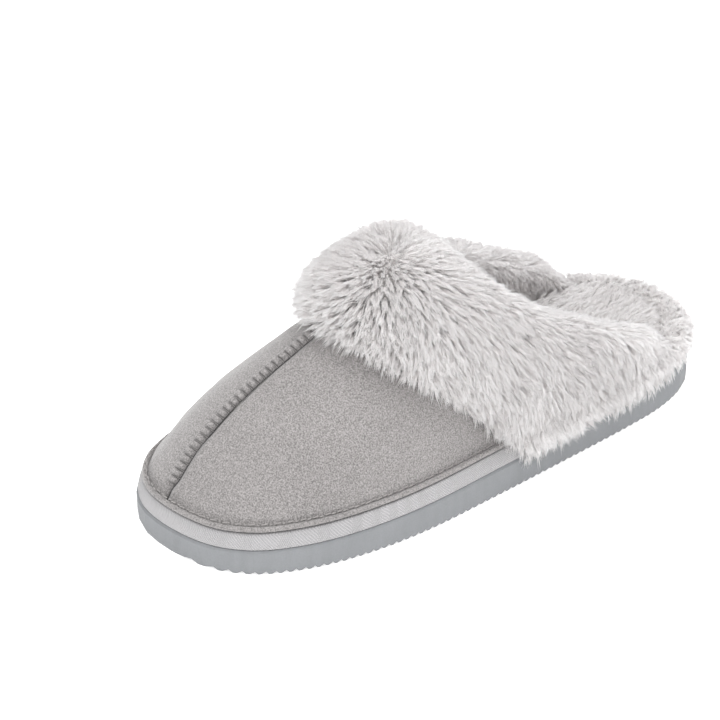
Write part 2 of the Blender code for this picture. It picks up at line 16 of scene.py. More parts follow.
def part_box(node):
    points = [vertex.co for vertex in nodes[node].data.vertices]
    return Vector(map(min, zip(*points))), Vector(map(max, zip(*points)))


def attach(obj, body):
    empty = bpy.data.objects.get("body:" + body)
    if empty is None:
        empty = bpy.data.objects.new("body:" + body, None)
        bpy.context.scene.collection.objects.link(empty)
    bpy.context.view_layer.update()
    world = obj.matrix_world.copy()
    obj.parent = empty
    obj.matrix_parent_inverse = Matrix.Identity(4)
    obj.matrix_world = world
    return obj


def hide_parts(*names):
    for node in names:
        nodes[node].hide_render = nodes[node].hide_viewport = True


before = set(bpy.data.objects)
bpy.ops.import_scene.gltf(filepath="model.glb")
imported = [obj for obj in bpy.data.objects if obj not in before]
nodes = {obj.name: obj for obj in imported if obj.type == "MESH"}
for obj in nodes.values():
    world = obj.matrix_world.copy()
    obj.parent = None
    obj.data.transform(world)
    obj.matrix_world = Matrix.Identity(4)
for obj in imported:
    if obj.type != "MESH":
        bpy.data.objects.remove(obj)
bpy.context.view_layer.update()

# ---- which CAD nodes and pieces do what ----
FUR_NODES = ("cuff_fur", "collar_fur_lateral", "collar_fur_medial", "heel_fur")
WALL_NODES = ("vamp_panel_lateral", "vamp_panel_medial", "vamp_lining", "sole_wrap_band", "heel_padding")
BARE_PIECES = ("suede_lateral", "suede_medial", "twill_band", "moulded_sole")  # long hair lies on these

# ---- mesh work: sizes in metres, angles in degrees ----
FOLD_ANGLE = 50  # an edge that folds more sharply than this stays sharp
JOIN_ANGLE = 40  # triangles that meet more flatly than this are joined into quads
JOIN_SKEW = 60
WELD_DISTANCE = 2e-5
TUBE_SIDES = 6
TUBE_ANGLE = 60
TUBE_TAPER = 0.55
ABOVE = 0.2  # a height above everything, from which rays go down

# ---- the suede toe ----
SEAM_FRONT_GAP = 0.0006  # the seam's first station lies this far behind the front of the suede
SEAM_END = -0.027  # its last station's y, under the cuff
SEAM_STATIONS = 90
SEAM_SEARCH = 0.020  # the seam is looked for within this x
SEAM_ROUNDS = 14
SEAM_SMOOTHING = 7  # stations that are averaged; an odd number
SEAM_DIP = 0.0011  # how deep the suede turns down into the centre seam
SEAM_DIP_REACH = 0.0015
SEAM_OUTSIDE = (-0.012, -0.004)  # heights from the seam between which the suede starts to dip with it
SEAM_SHADE_REACH = 0.0007  # half width of the painted shade line in the seam
SUEDE_WAVES = ((0.00022, 0.020, 3), (0.00010, 0.007, 4))  # height, size and seed of the suede's unevenness
FOAM_CLEARANCE = 0.0008  # the foam below the seam stays this much further down
WELT_WIDTH = 0.0040
WELT_HEIGHT = 0.0021
WELT_OFFSET = 0.0023  # the welt's middle lies this far to the medial side of the seam
WELT_START = 4  # the seam station where the welt begins
WELT_COLUMNS = 15
WELT_DEPTH = 0.0004  # how far the welt's underside lies in the suede
WELT_ANGLE = 70
STITCH_PITCH = 0.0033
STITCH_STEPS = 12  # rows of mesh in one gather of the welt
RAY_HEIGHT = 0.02  # rays to the suede start this far over it
RAY_NUDGES = (0.0, 0.0001, 0.0002, 0.0004, 0.0008, 0.0016)
BAR_RADIUS = 0.00022
BAR_REACH = 1.1  # thread bars end this far out, in half widths of the welt
BAR_POINTS = 13
FLARE = 0.0013  # how far the foot of the suede leans out onto the rolled edge
FLARE_HEIGHT = 0.0035
FLARE_OVERLAP = 0.0005
PIPING_GROWTH = 0.00022  # the rolled edge swells by this much, so that it stays proud of the suede
TOE_MIDDLE = 0.02  # the CAD thread's rings are sorted by their angle round this y
THREAD_CORNERS = 4  # corners in one ring of the CAD thread
EDGE_STITCH = 0.0026
EDGE_STITCH_GAP = 0.0009
EDGE_STITCH_STEPS = 6
EDGE_THREAD_RADIUS = 0.00028

# ---- the sole ----
SOLE_ANGLE = 32
OUTLINE_STATIONS = 181
BAND_CREASE = 0.75
BAND_BULGE = 0.0008
BAND_HEIGHT = 0.0066
RIB_PITCH = 0.0011  # twill ribs of the sole band

# ---- fur ----
PILE_VOXEL = 0.0020
PILE_SMOOTHING = 4
PILE_SHARE = 0.45  # share of the fur's depth that single hairs show in
PILE_LIMIT = 0.0050
BACKING = 0.0006
CLOSING = 0.0012  # the strips are swollen by this much, joined, and shrunk again, which closes narrow notches
DEPTH_ROUNDS = 14  # how far the depth is evened out over the pile base
OPEN_AIR = 0.004  # a face with a wall this close in front of it is hidden and grows no hair
HAIR_LENGTH = 0.0064  # visible length of a hair, on top of the depth that it stands in
WHORL_X = 0.0043
WHORL_FROM_FRONT = 0.0315  # the whorl's place, from the front of the cuff and from its top
WHORL_FROM_TOP = 0.006
WHORL_REACH = 0.013
WHORL_RISE = 0.80  # hairs in the whorl stand up this share of their length
WHORL_TRIM = 0.40  # how much shorter hairs are in the whorl, inside the collar and on the heel roll
INSIDE_TRIM = 0.35
HEEL_TRIM = 0.30
HEEL_START = 0.098  # the low roll round the heel lies behind this y
HEEL_BLEND = (HEEL_START - 0.006, HEEL_START + 0.010)  # where along y the coat changes to the heel roll's
CREST_SLOPE = 0.75  # hairs stand up and lean at random where the heel roll is more level than this,
CREST_LEVEL = 0.97  # fully so at this, which leaves no parting along its top
CREST_RISE = 0.50
CREST_LEAN = 1.6
COLLAR_SAG = 0.0080  # how far the side collars sink at their rear ends
SAG_ALONG = (HEEL_START - 0.016, HEEL_START + 0.003)  # where along y they begin to sink and have sunk fully
SAG_BELOW = 0.006  # and in height, from this far below the top of the heel roll to this far above it
SAG_ABOVE = 0.010
THIN_FUR = (0.0030, 0.0012)  # depths between which hairs turn to stand on the under-fur itself
SHORT_PILE = 0.0026  # hairs stand in at least this depth, where the fur is thin
COMB_REACH = (0.02, 0.10)  # distances from the whorl between which the hair comes to hang down
DROOP = 1.1  # how strongly the hair hangs down, at the front
REAR_DROOP = 1.3  # and how much more at the rear
REAR_START = 0.03
BEND_STEPS = 12
HAIRS_IN_LOCK = 9
LOCKS_IN_TUFT = 12
GATHER = 0.5  # how far the hairs of a lock close up at its tip
STRAY = 0.00045
ROOT_DEPTH = 0.0006  # how far hairs start below the under-fur
HAIR_CLEARANCE = 0.0005
KEEP_OUT_REACH = 0.004
HAIR_RADIUS = 0.00012
HAIRS = 170000
HAIRS_PER_PIECE = 12400
FOOTBED_HAIRS = 36000
FOOTBED_PILE = 0.0028
FOOTBED_LENGTH = 2.2  # length of its hairs, in depths of its pile
FOOTBED_ROOT_DEPTH = 0.0004
FOOTBED_SINK = 0.0012  # its top lies lower by this much, to leave room for the hairs
FOOTBED_REAR = (0.06, 0.09)  # its rim has hairs from here to the rear
FOOTBED_FRONT = (-0.075, -0.045)  # and its top from here, where it comes into view
RING_PLACES = (0.0, 0.35, 0.70)  # shares of a hair's length, before its tip
RING_WIDTHS = (1.0, 0.88, 0.58)

# ---- colours, linear ----
SUEDE_GREY = (0.241, 0.229, 0.226)
BAND_GREY = (0.384, 0.377, 0.384)
SOLE_GREY = (0.214, 0.221, 0.230)
FUR_GREY = (0.980, 0.952, 0.944)
THREAD_GREY = (0.270, 0.256, 0.250)
FOAM_WHITE = (0.78, 0.77, 0.73)
BOARD_BROWN = (0.46, 0.38, 0.28)
UNDER_FUR_PAINTED_SHADE = 0.56  # share of FUR_GREY; the darkening is painted shade for the gaps between locks
# the linings' plush, as a share of FUR_GREY; the darkening is painted shade for its short pile
PLUSH_PAINTED_SHADE = 0.58

# ---- camera and light ----
CAMERA_AZIMUTH = math.radians(52.38)
CAMERA_ELEVATION = math.radians(31.489)
CAMERA_DISTANCE = 1.76135
CAMERA_TARGET = Vector((-0.03374, -0.00913, 0.02746))
CAMERA_LENS = 213.1
FLOOR_SIZE = 4.0
WORLD_LIGHT = 0.77
LIGHTS = (  # name, place, size, power
    ("key", (-0.9, -1.0, 1.5), 1.0, 6.5),
    ("top", (0.2, 0.5, 1.7), 1.2, 19.0),
    ("front", (1.2, -1.1, 1.2), 1.2, 18.0),
)
LIGHT_TARGET = Vector((0, 0, 0.04))
FLOOR_GLOW = 0.45  # a light table: the floor stays white in the sole's notches
LIGHT_BOUNCES = 12  # white fur is bright because light passes through many hairs


# ---- mesh helpers ----
def new_object(name, mesh):
    obj = bpy.data.objects.new(name, mesh)
    bpy.context.scene.collection.objects.link(obj)
    return obj


def object_from(name, bm):
    mesh = bpy.data.meshes.new(name)
    bmesh.ops.recalc_face_normals(bm, faces=bm.faces)
    bm.to_mesh(mesh)
    bm.free()
    return new_object(name, mesh)


def shade(obj, angle=FOLD_ANGLE):
    obj.data.shade_smooth()
    obj.data.set_sharp_from_angle(angle=math.radians(angle))
    return obj


def apply_modifiers(obj):
    graph = bpy.context.evaluated_depsgraph_get()
    mesh = bpy.data.meshes.new_from_object(obj.evaluated_get(graph))
    obj.modifiers.clear()
    obj.data = mesh
    return obj


def coords(obj):
    flat = np.empty(len(obj.data.vertices) * 3)
    obj.data.vertices.foreach_get("co", flat)
    return flat.reshape(-1, 3)


def set_coords(obj, points):
    obj.data.vertices.foreach_set("co", np.asarray(points, float).ravel())
    obj.data.update()


def vertex_normals(obj):
    flat = np.empty(len(obj.data.vertices) * 3)
    obj.data.vertex_normals.foreach_get("vector", flat)
    return flat.reshape(-1, 3)


def set_attribute(obj, name, values):
    layer = obj.data.attributes.new(name, "FLOAT", "POINT")
    layer.data.foreach_set("value", np.asarray(values, float))


def unit(vectors):
    return vectors / np.maximum(np.linalg.norm(vectors, axis=-1, keepdims=True), 1e-12)


def smoothstep(values, low, high):
    t = np.clip((values - low) / (high - low), 0.0, 1.0)
    return t * t * (3 - 2 * t)


def waves(points, size, seed):
    """Smooth seeded noise, mostly between -1 and 1, with features of about the given size."""
    rng = np.random.default_rng(seed)
    pull = unit(rng.normal(size=(14, 3))) * (math.pi / size * rng.uniform(0.6, 1.5, (14, 1)))
    return np.sin(points @ pull.T + rng.uniform(0, 2 * math.pi, 14)).sum(1) / 4.5


def spread(obj, values, rounds):
    """Values at the mesh's vertices, averaged with their neighbours' several times over."""
    flat = np.empty(len(obj.data.edges) * 2, int)
    obj.data.edges.foreach_get("vertices", flat)
    first, second = flat.reshape(-1, 2).T
    size = len(values)
    neighbours = np.bincount(first, minlength=size) + np.bincount(second, minlength=size)
    for _ in range(rounds):
        total = np.bincount(first, values[second], size) + np.bincount(second, values[first], size)
        values = (values + total / np.maximum(neighbours, 1)) / 2
    return values


def tree_of(objects):
    points, faces = [], []
    for obj in objects:
        start = len(points)
        points += [v.co[:] for v in obj.data.vertices]
        faces += [[start + i for i in p.vertices] for p in obj.data.polygons]
    return BVHTree.FromPolygons(points, faces)


def nearest(tree, points):
    """Nearest places on the tree's surface, their outward normals and their distances."""
    found = [tree.find_nearest(Vector(p)) for p in points]
    return (np.array([f[0][:] for f in found]), np.array([f[1][:] for f in found]),
            np.array([f[3] for f in found]))


def softened(name, node, levels, crease=1.0):
    """Subdivided smooth copy of a CAD node. Edges that fold more sharply than FOLD_ANGLE keep a crease."""
    bm = bmesh.new()
    bm.from_mesh(nodes[node].data)
    bmesh.ops.remove_doubles(bm, verts=bm.verts, dist=WELD_DISTANCE)
    bmesh.ops.join_triangles(bm, faces=bm.faces, angle_face_threshold=math.radians(JOIN_ANGLE),
                             angle_shape_threshold=math.radians(JOIN_SKEW))
    creases = bm.edges.layers.float.new("crease_edge")
    for edge in bm.edges:
        if edge.is_manifold and edge.calc_face_angle() > math.radians(FOLD_ANGLE):
            edge[creases] = crease
    obj = object_from(name, bm)
    subdivision = obj.modifiers.new("subdivision", "SUBSURF")
    subdivision.levels = levels
    subdivision.render_levels = levels
    return shade(apply_modifiers(obj))


def closed_shell(name, top, bottom):
    """Closed solid between two grids of points."""
    rows, columns = len(top), len(top[0])
    bm = bmesh.new()
    a = [[bm.verts.new(p) for p in row] for row in top]
    b = [[bm.verts.new(p) for p in row] for row in bottom]
    for i in range(rows - 1):
        for j in range(columns - 1):
            bm.faces.new((a[i][j], a[i + 1][j], a[i + 1][j + 1], a[i][j + 1]))
            bm.faces.new((b[i][j], b[i][j + 1], b[i + 1][j + 1], b[i + 1][j]))
        for j in (0, columns - 1):
            bm.faces.new((a[i][j], b[i][j], b[i + 1][j], a[i + 1][j]))
    for j in range(columns - 1):
        for i in (0, rows - 1):
            bm.faces.new((a[i][j], a[i][j + 1], b[i][j + 1], b[i][j]))
    return object_from(name, bm)


def tubes(name, paths, radius):
    """One closed tube with tapered ends along each path."""
    bm = bmesh.new()
    turns = [2 * math.pi * s / TUBE_SIDES for s in range(TUBE_SIDES)]
    for path in paths:
        path = np.array(path, float)
        tangents = unit(np.gradient(path, axis=0))
        rings = []
        for k, (point, tangent) in enumerate(zip(path, tangents)):
            across = unit(np.cross(tangent, [0.0, 0.3, 1.0]))
            up = np.cross(across, tangent)
            size = radius * (TUBE_TAPER if k in (0, len(path) - 1) else 1.0)
            rings.append([bm.verts.new(point + size * (math.cos(a) * across + math.sin(a) * up))
                          for a in turns])
        for this, following in zip(rings, rings[1:]):
            for s in range(TUBE_SIDES):
                n = (s + 1) % TUBE_SIDES
                bm.faces.new((this[s], this[n], following[n], following[s]))
        bm.faces.new(rings[0])
        bm.faces.new(rings[-1])
    return shade(object_from(name, bm), TUBE_ANGLE)


def resampled(points, step):
    """The polyline's points at even steps of length."""
    points = np.array(points, float)
    along = np.concatenate([[0], np.cumsum(np.linalg.norm(np.diff(points, axis=0), axis=1))])
    at = np.arange(0, along[-1], step)
    return np.stack([np.interp(at, along, points[:, k]) for k in range(3)], 1)


# ---- materials ----
class Look:
    """A procedural Principled material, built up node by node. Sizes are in metres."""

    def __init__(self, name, roughness, sheen=0.0):
        self.material = bpy.data.materials.new(name)
        self.material.use_nodes = True
        self.tree = self.material.node_tree
        self.shader = self.tree.nodes["Principled BSDF"]
        self.shader.inputs["Roughness"].default_value = roughness
        self.shader.inputs["Sheen Weight"].default_value = sheen
        self.shader.inputs["Sheen Roughness"].default_value = 0.5
        self.shader.inputs["Specular IOR Level"].default_value = 0.25
        self.place = self.tree.nodes.new("ShaderNodeTexCoord").outputs["Object"]

    def node(self, kind, **settings):
        made = self.tree.nodes.new(kind)
        for key, value in settings.items():
            setattr(made, key, value)
        return made

    def link(self, source, target):
        self.tree.links.new(source, target)

    def noise(self, size, detail=3.0, stretch=(1, 1, 1)):
        mapping = self.node("ShaderNodeMapping")
        mapping.inputs["Scale"].default_value = stretch
        self.link(self.place, mapping.inputs["Vector"])
        noise = self.node("ShaderNodeTexNoise")
        noise.inputs["Scale"].default_value = 1 / size
        noise.inputs["Detail"].default_value = detail
        self.link(mapping.outputs["Vector"], noise.inputs["Vector"])
        return noise.outputs["Fac"]

    def attribute(self, name):
        return self.node("ShaderNodeAttribute", attribute_name=name).outputs["Fac"]

    def math(self, operation, first, second=None):
        made = self.node("ShaderNodeMath", operation=operation)
        for value, socket in ((first, made.inputs[0]), (second, made.inputs[1])):
            if isinstance(value, (int, float)):
                socket.default_value = value
            elif value is not None:
                self.link(value, socket)
        return made.outputs["Value"]

    def ramp(self, share, low, high, start=0.0, end=1.0):
        ramp = self.node("ShaderNodeValToRGB")
        ramp.color_ramp.elements[0].position = start
        ramp.color_ramp.elements[1].position = end
        ramp.color_ramp.elements[0].color = (*low, 1)
        ramp.color_ramp.elements[1].color = (*high, 1)
        self.link(share, ramp.inputs["Fac"])
        return ramp.outputs["Color"]

    def tones(self, share, color, dark, light, start=0.3, end=0.7):
        """The colour between two shades of itself."""
        return self.ramp(share, shade_of(color, dark), shade_of(color, light), start, end)

    def mix(self, share, first, second, blend="MIX"):
        mix = self.node("ShaderNodeMix", data_type="RGBA", blend_type=blend)
        if isinstance(share, (int, float)):
            mix.inputs["Factor"].default_value = share
        else:
            self.link(share, mix.inputs["Factor"])
        self.link(first, mix.inputs["A"])
        self.link(second, mix.inputs["B"])
        return next(o for o in mix.outputs if o.enabled)

    def color(self, source):
        self.link(source, self.shader.inputs["Base Color"])

    def bump(self, *layers):
        """Each layer is a height source and its real depth in metres."""
        normal = None
        for height, depth in layers:
            bump = self.node("ShaderNodeBump")
            bump.inputs["Strength"].default_value = 1.0
            bump.inputs["Distance"].default_value = depth
            self.link(height, bump.inputs["Height"])
            if normal is not None:
                self.link(normal, bump.inputs["Normal"])
            normal = bump.outputs["Normal"]
        self.link(normal, self.shader.inputs["Normal"])


def shade_of(color, factor):
    return tuple(c * factor for c in color)


def suede_look():
    look = Look("suede", 0.95, sheen=0.35)
    grain = look.noise(0.00058, 3.0)
    nap = look.noise(0.0045, 3.0)
    cloud = look.noise(0.028, 2.0)
    color = look.mix(0.25, look.tones(grain, SUEDE_GREY, 0.12, 1.88, 0.33, 0.67),
                     look.tones(nap, SUEDE_GREY, 0.90, 1.10))
    color = look.mix(0.35, color, look.tones(cloud, SUEDE_GREY, 0.90, 1.12))
    # painted shade: where the crease attribute is high, the suede turns to a much darker grain, for shade in
    # the seam's groove and between the welt's puffs
    crease = look.attribute("crease")
    look.color(look.mix(crease, color, look.tones(grain, SUEDE_GREY, 0.16, 0.30, 0.0, 1.0)))
    look.bump((nap, 0.00022), (grain, 0.00026))
    return look.material


def band_look():
    """Twill tape: fine ribs that run slantwise up the band."""
    look = Look("band_twill", 0.85, sheen=0.25)
    slant = look.math("ADD", look.attribute("along"), look.attribute("rise"))
    phase = look.math("MULTIPLY", slant, 2 * math.pi / RIB_PITCH)
    rib = look.math("ADD", look.math("MULTIPLY", look.math("SINE", phase), 0.5), 0.5)
    fuzz = look.noise(0.0005, 3.0)
    cloud = look.noise(0.020, 2.0)
    color = look.mix(0.35, look.tones(rib, BAND_GREY, 0.66, 1.16, 0.0, 1.0),
                     look.tones(fuzz, BAND_GREY, 0.80, 1.20))
    look.color(look.mix(0.3, color, look.tones(cloud, BAND_GREY, 0.92, 1.08)))
    look.bump((rib, 0.00022), (fuzz, 0.00008))
    return look.material


def sole_look():
    """Moulded foam: fine pores and soft vertical streaks."""
    look = Look("moulded_foam", 0.62)
    pores = look.noise(0.0006, 3.0)
    streaks = look.noise(0.004, 3.0, (1, 1, 0.15))
    cloud = look.noise(0.018, 3.0)
    color = look.mix(0.5, look.tones(streaks, SOLE_GREY, 0.90, 1.08),
                     look.tones(cloud, SOLE_GREY, 0.90, 1.12))
    look.color(look.mix(0.25, color, look.tones(pores, SOLE_GREY, 0.80, 1.15)))
    look.link(look.math("ADD", look.math("MULTIPLY", cloud, 0.2), 0.5), look.shader.inputs["Roughness"])
    look.bump((streaks, 0.00008), (pores, 0.00005))
    return look.material


def hair_look():
    """Single hairs: a little darker and warmer at the root, where the darkening is painted shade deep in the
    pile, pale at the tip, each lock its own tone.
    """
    look = Look("fur_hairs", 0.75, sheen=0.15)
    look.shader.inputs["Subsurface Weight"].default_value = 1.0
    look.shader.inputs["Subsurface Radius"].default_value = (1.0, 1.0, 1.0)
    look.shader.inputs["Subsurface Scale"].default_value = 0.0010
    # painted shade: each hair's root end is 0.94 as bright as its tip
    along = look.ramp(look.attribute("along"), shade_of(FUR_GREY, 0.94), FUR_GREY, 0.0, 0.6)
    tone = look.ramp(look.attribute("tone"), (0.93, 0.93, 0.935), (1.0, 1.0, 1.0))
    look.color(look.mix(1.0, along, tone, "MULTIPLY"))
    return look.material


def pile_look(name, color, size):
    """Dense under-fur, seen only between the locks, and the short plush of the linings. Their colours are
    darkened below the hairs' as painted shade.
    """
    look = Look(name, 0.95, sheen=0.3)
    fibres = look.noise(size, 4.0)
    tufts = look.noise(size * 6, 3.0)
    look.color(look.mix(0.5, look.tones(fibres, color, 0.78, 1.08), look.tones(tufts, color, 0.84, 1.05)))
    look.bump((tufts, 0.0008), (fibres, 0.0004))
    return look.material


def thread_look():
    look = Look("twisted_thread", 0.7, sheen=0.2)
    fibre = look.noise(0.0005, 2.0, (1, 1, 3))
    look.color(look.tones(fibre, THREAD_GREY, 0.80, 1.20))
    look.bump((fibre, 0.00008))
    return look.material


def foam_look(name, color, size):
    look = Look(name, 0.9)
    cells = look.noise(size, 4.0)
    look.color(look.tones(cells, color, 0.85, 1.1))
    look.bump((cells, size / 4))
    return look.material


def finish_piece(obj, material, stands_for=()):
    obj.data.materials.clear()
    obj.data.materials.append(material)
    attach(obj, "root")
    if stands_for:
        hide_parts(*stands_for)
    return obj


# ---- the suede toe and its centre seam ----
class Seam:
    """The line on top of the toe where the two suede halves meet, and its directions along the way."""

    def __init__(self):
        lateral, medial = (tree_of([nodes[f"vamp_panel_{side}"]]) for side in ("lateral", "medial"))
        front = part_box("vamp_panel_lateral")[0].y
        points = []
        for y in np.linspace(front + SEAM_FRONT_GAP, SEAM_END, SEAM_STATIONS):
            inner, outer = -SEAM_SEARCH, SEAM_SEARCH
            for _ in range(SEAM_ROUNDS):
                middle = (inner + outer) / 2
                if self.top(medial, middle, y) > self.top(lateral, middle, y):
                    inner = middle
                else:
                    outer = middle
            points.append((inner, y, max(self.top(medial, inner, y), self.top(lateral, outer, y))))
        self.points = np.array(points)
        kernel = np.ones(SEAM_SMOOTHING) / SEAM_SMOOTHING
        for k in (0, 2):
            padded = np.pad(self.points[:, k], SEAM_SMOOTHING // 2, mode="reflect", reflect_type="odd")
            self.points[:, k] = np.convolve(padded, kernel, "valid")

    @staticmethod
    def top(tree, x, y):
        hit = tree.ray_cast(Vector((x, y, ABOVE)), Vector((0, 0, -1)))[0]
        return hit.z if hit else 0.0

    def at(self, y):
        """Seam point and up direction at station y, for arrays of y."""
        table = self.points
        x = np.interp(y, table[:, 1], table[:, 0])
        z = np.interp(y, table[:, 1], table[:, 2])
        slope = np.interp(y, table[:, 1], np.gradient(table[:, 2], table[:, 1]))
        up = unit(np.stack([np.zeros_like(slope), -slope, np.ones_like(slope)], -1))
        return np.stack([x, y, z], -1), up


def into_seam(seam, points, depth):
    """The points with those beside the seam moved down into it, how far each lies beside it, and how much it
    belongs to the top of the toe.
    """
    foot, up = seam.at(points[:, 1])
    outer = smoothstep(((points - foot) * up).sum(1), *SEAM_OUTSIDE)
    aside = np.abs(points[:, 0] - foot[:, 0])
    dip = np.exp(-((aside / SEAM_DIP_REACH) ** 2)) * outer * depth
    return points - up * dip[:, None], aside, outer


def make_toe(seam, suede, foam):
    """Suede halves that roll down into the seam and lean out onto the rolled edge, and their foam."""
    halves = {}
    edge_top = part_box("vamp_edge_piping")[1].z
    for side in ("lateral", "medial"):
        node = f"vamp_panel_{side}"
        obj = softened(f"suede_{side}", node, 3)
        points, normals = coords(obj), vertex_normals(obj)
        shifted, aside, outer = into_seam(seam, points, SEAM_DIP)
        flat = unit(points * [1, 1, 0])
        low = smoothstep(points[:, 2], edge_top + FLARE_HEIGHT, edge_top - FLARE_OVERLAP)
        shifted += flat * (low * FLARE)[:, None]
        uneven = sum(height * waves(points, size, seed) for height, size, seed in SUEDE_WAVES)
        shifted += normals * uneven[:, None]
        set_coords(obj, shifted)
        # painted shade: the crease attribute darkens a narrow line along the seam's groove
        set_attribute(obj, "crease", np.exp(-((aside / SEAM_SHADE_REACH) ** 2)) * outer * 0.95)
        halves[side] = finish_piece(obj, suede, [node])

        under = softened(f"toe_foam_{side}", f"vamp_foam_{side}", 2)
        set_coords(under, into_seam(seam, coords(under), SEAM_DIP + FOAM_CLEARANCE)[0])
        finish_piece(under, foam, [f"vamp_foam_{side}"])
    return halves


def make_welt(seam, medial_half, suede, thread):
    """Raised edge beside the seam, puffed up between the stitches, and the thread bars that hold it down."""
    tree = tree_of([medial_half])
    path = resampled(seam.points[WELT_START:], STITCH_PITCH / STITCH_STEPS)
    feet, ups = seam.at(path[:, 1])
    shares = np.linspace(-1, 1, WELT_COLUMNS)

    def surface(k, share):
        """The suede straight below the welt. A ray that falls into the seam's gap is tried further over."""
        for nudge in RAY_NUDGES:
            over = feet[k] - [WELT_OFFSET + share * WELT_WIDTH / 2 + nudge, 0.0, 0.0] + ups[k] * RAY_HEIGHT
            spot, normal, _, _ = tree.ray_cast(Vector(over), Vector(-ups[k]))
            if spot is not None:
                return np.array(spot[:]), np.array(normal[:]) * math.copysign(1.0, normal.dot(Vector(ups[k])))
        raise RuntimeError("the welt runs off the suede")

    def crest(k, share, extra=0.0):
        """Point over the welt at the given share of its half width, at step k along it."""
        puff = abs(math.sin(math.pi * k / STITCH_STEPS)) ** 0.5
        spot, normal = surface(k, share)
        round_over = max(1 - abs(share) ** 3, 0.0) ** 0.6
        return spot + normal * (WELT_HEIGHT * (0.25 + 0.75 * puff) * round_over + extra)

    steps = range(len(path))
    top = [[crest(k, u) for u in shares] for k in steps]
    bottom = [[surface(k, u)[0] - ups[k] * WELT_DEPTH for u in shares] for k in steps]
    welt = shade(closed_shell("seam_welt", top, bottom), WELT_ANGLE)
    # painted shade: the crease attribute darkens the welt in the pinches at its stitches, more on the seam's
    # side, and along its outer foot
    pinch_shade = np.abs(np.cos(np.pi * np.arange(len(path)) / STITCH_STEPS)) ** 8
    edge = 0.7 * np.clip(shares, 0, 1) ** 6
    dark = np.clip(pinch_shade[:, None] * (0.85 - 0.35 * shares[None, :]) + edge[None, :], 0, 0.9)
    set_attribute(welt, "crease", np.tile(dark.ravel(), 2))
    finish_piece(welt, suede, ["centre_seam_welt"])

    bars = []
    for k in range(STITCH_STEPS, len(path) - 1, STITCH_STEPS):
        places = np.linspace(-BAR_REACH, BAR_REACH, BAR_POINTS)
        bars.append([crest(k, u, BAR_RADIUS * 0.7 if abs(u) < 1 else -0.0002) for u in places])
    finish_piece(tubes("seam_stitches", bars, BAR_RADIUS), thread, ["centre_seam_thread"])


def thread_line():
    """Middle line of the CAD thread that runs round the toe, from its rings of points."""
    points = coords(nodes["vamp_edge_thread"])
    order = np.argsort(np.arctan2(points[:, 0], -points[:, 1] + TOE_MIDDLE))
    rings = points[order][: len(points) // THREAD_CORNERS * THREAD_CORNERS].reshape(-1, THREAD_CORNERS, 3)
    return rings.mean(1)


def make_edge_trim(suede, thread):
    piping = softened("rolled_edge", "vamp_edge_piping", 2, crease=0.0)
    set_coords(piping, coords(piping) + vertex_normals(piping) * PIPING_GROWTH)
    # the rolled edge carries no painted seam shade
    set_attribute(piping, "crease", np.zeros(len(piping.data.vertices)))
    finish_piece(piping, suede, ["vamp_edge_piping"])

    step = EDGE_STITCH / EDGE_STITCH_STEPS
    line = resampled(thread_line(), step)
    stride = round((EDGE_STITCH + EDGE_STITCH_GAP) / step)
    size = EDGE_STITCH_STEPS + 1
    stitches = [line[k:k + size] for k in range(0, len(line) - size, stride)]
    finish_piece(tubes("edge_stitches", stitches, EDGE_THREAD_RADIUS), thread, ["vamp_edge_thread"])


# ---- the sole ----
def round_sole(points):
    """Distance round the sole's outline, for each point, starting behind the heel."""
    rim = coords(nodes["sole_wrap_band"])
    angle = np.arctan2(rim[:, 0], -rim[:, 1])
    order = np.argsort(angle)
    angle, rim = angle[order], rim[order, :2]
    bins = np.linspace(-math.pi, math.pi, OUTLINE_STATIONS)
    ring = np.array([[np.interp(b, angle, rim[:, k], period=2 * math.pi) for k in (0, 1)] for b in bins])
    along = np.concatenate([[0], np.cumsum(np.linalg.norm(np.diff(ring, axis=0), axis=1))])
    return np.interp(np.arctan2(points[:, 0], -points[:, 1]), bins, along)


def make_sole(sole_material, band_material):
    sole = new_object("moulded_sole", nodes["outsole"].data.copy())
    shade(sole, SOLE_ANGLE)
    finish_piece(sole, sole_material, ["outsole"])

    band = softened("twill_band", "sole_wrap_band", 3, crease=BAND_CREASE)
    points, normals = coords(band), vertex_normals(band)
    low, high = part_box("outsole")
    deck_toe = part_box("sole_wrap_band")[0].z
    share = (points[:, 1] - low.y) / (high.y - low.y)
    rise = points[:, 2] - (deck_toe + (high.z - deck_toe) * share)
    flat = unit(normals * [1, 1, 0])
    outward = (flat * points * [1, 1, 0]).sum(1) > 0
    bulge = np.sin(math.pi * np.clip(rise / BAND_HEIGHT, 0, 1)) ** 0.7 * BAND_BULGE
    set_coords(band, points + flat * (bulge * outward)[:, None])
    set_attribute(band, "along", round_sole(points))
    set_attribute(band, "rise", rise)
    finish_piece(band, band_material, ["sole_wrap_band"])


# ---- fur ----
def sunk(points):
    """The points with the rear ends of the side collars rounded down towards the heel roll."""
    heel_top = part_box("heel_fur")[1].z
    rear = smoothstep(points[:, 1], *SAG_ALONG)
    raised = smoothstep(points[:, 2], heel_top - SAG_BELOW, heel_top + SAG_ABOVE)
    return points - np.array([0, 0, 1.0]) * (COLLAR_SAG * rear * raised)[:, None]


def make_collar_padding(foam):
    """Foam walls inside the side collars. Returns them with the other nodes that the fur lies on."""
    walls = [nodes[name] for name in WALL_NODES]
    for side in ("lateral", "medial"):
        padding = softened(f"collar_foam_{side}", f"collar_padding_{side}", 1)
        set_coords(padding, sunk(coords(padding)))
        finish_piece(padding, foam, [f"collar_padding_{side}"])
        walls.append(padding)
    return tree_of(walls)


